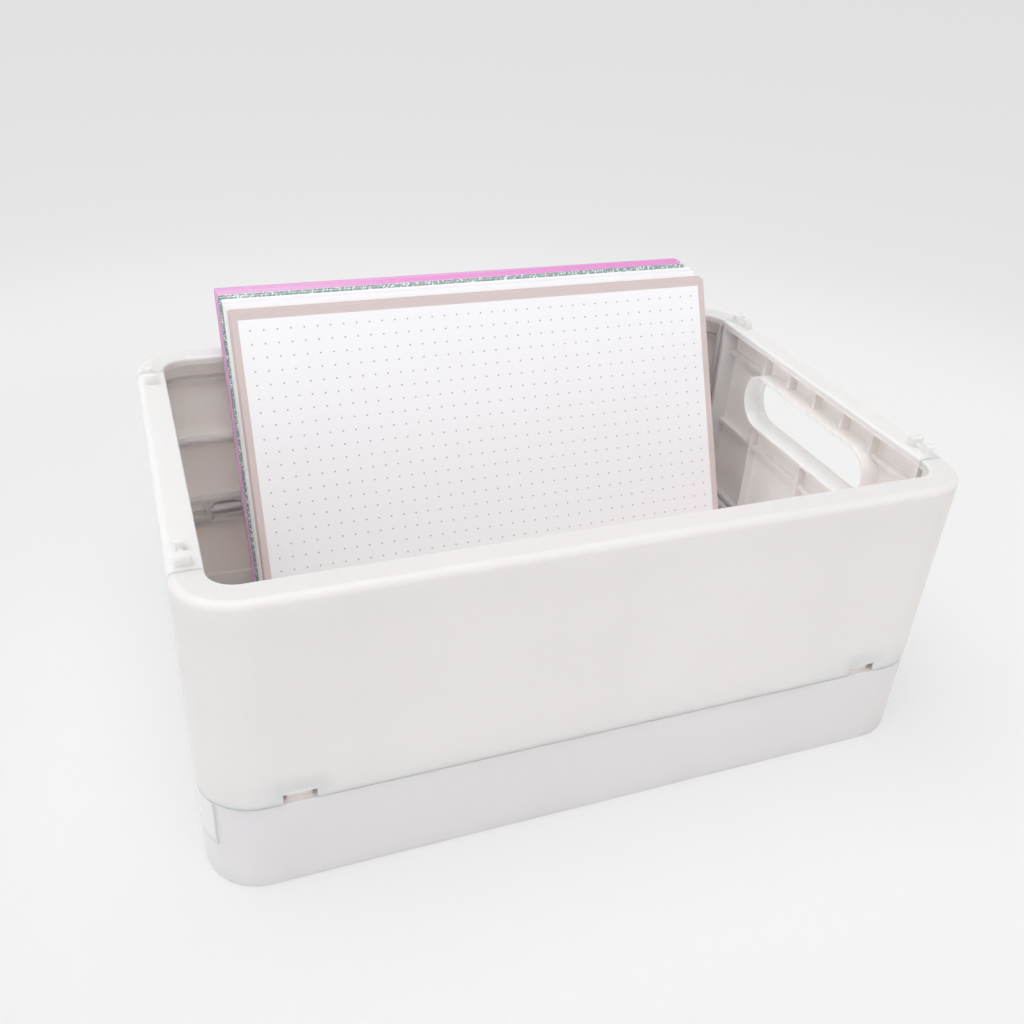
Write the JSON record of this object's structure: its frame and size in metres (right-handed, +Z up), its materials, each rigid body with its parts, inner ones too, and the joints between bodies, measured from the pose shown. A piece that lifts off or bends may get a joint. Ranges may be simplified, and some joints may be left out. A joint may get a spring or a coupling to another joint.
{
  "type": "flashcard storage box",
  "caption": "Folding plastic storage box with rounded corners, handle slots in its ends and stacking lugs on its rim, holding a leaning pack of flashcards that lift out.",
  "frame": {"origin": "centre of the box's footprint on the surface that it stands on", "axes": "+X along the length to the right, +Y to the back, +Z up"},
  "size_m": [0.254, 0.169, 0.1303],
  "materials": {
    "white_plastic": "fine matt moulded polypropylene, near white",
    "dot_paper": "white paper printed with a 5 mm grid of small grey dots",
    "taupe_card": "uncoated taupe card",
    "white_card": "smooth white card",
    "glitter_card": "green card with a glitter face",
    "pink_card": "uncoated pink card",
    "lilac_card": "uncoated lilac card"
  },
  "bodies": {
    "crate": {"base_tray": "white_plastic", "front_wall": "white_plastic", "back_wall": "white_plastic"},
    "left_end": {"left_end_panel": "white_plastic"},
    "right_end": {"right_end_panel": "white_plastic"},
    "taupe_deck": {"taupe_card_2": "taupe_card", "taupe_card_3": "taupe_card", "taupe_card_4": "taupe_card", "taupe_card_5": "taupe_card"},
    "white_deck": {"white_card_1": "white_card", "white_card_2": "white_card", "white_card_3": "white_card", "white_card_4": "white_card", "white_card_5": "white_card", "white_card_6": "white_card", "white_card_7": "white_card"},
    "glitter_deck": {"glitter_card_1": "glitter_card", "glitter_card_2": "glitter_card", "glitter_card_3": "glitter_card"},
    "pink_deck": {"pink_card_1": "pink_card", "pink_card_2": "pink_card", "pink_card_3": "pink_card", "pink_card_4": "pink_card", "pink_card_5": "pink_card", "lilac_card": "lilac_card"},
    "dotted_card": {"dot_sheet": "dot_paper", "taupe_card_1": "taupe_card"}
  },
  "joints": [
    {"name": "left_end_fold", "type": "hinge", "parent": "crate", "child": "left_end", "pos_m": [-0.122, 0, 0.0204], "axis": [0, 1, 0], "range_deg": [0, 14.5]},
    {"name": "right_end_fold", "type": "hinge", "parent": "crate", "child": "right_end", "pos_m": [0.122, 0, 0.0204], "axis": [0, -1, 0], "range_deg": [0, 9.5]},
    {"name": "dotted_card_lift", "type": "slide", "parent": "crate", "child": "dotted_card", "axis": [0, 0.4179, 0.9085], "range_m": [0, 0.12]},
    {"name": "taupe_deck_lift", "type": "slide", "parent": "crate", "child": "taupe_deck", "axis": [0, 0.4179, 0.9085], "range_m": [0, 0.12]},
    {"name": "white_deck_lift", "type": "slide", "parent": "crate", "child": "white_deck", "axis": [0, 0.4179, 0.9085], "range_m": [0, 0.12]},
    {"name": "glitter_deck_lift", "type": "slide", "parent": "crate", "child": "glitter_deck", "axis": [0, 0.4179, 0.9085], "range_m": [0, 0.12]},
    {"name": "pink_deck_lift", "type": "slide", "parent": "crate", "child": "pink_deck", "axis": [0, 0.4179, 0.9085], "range_m": [0, 0.12]}
  ]
}
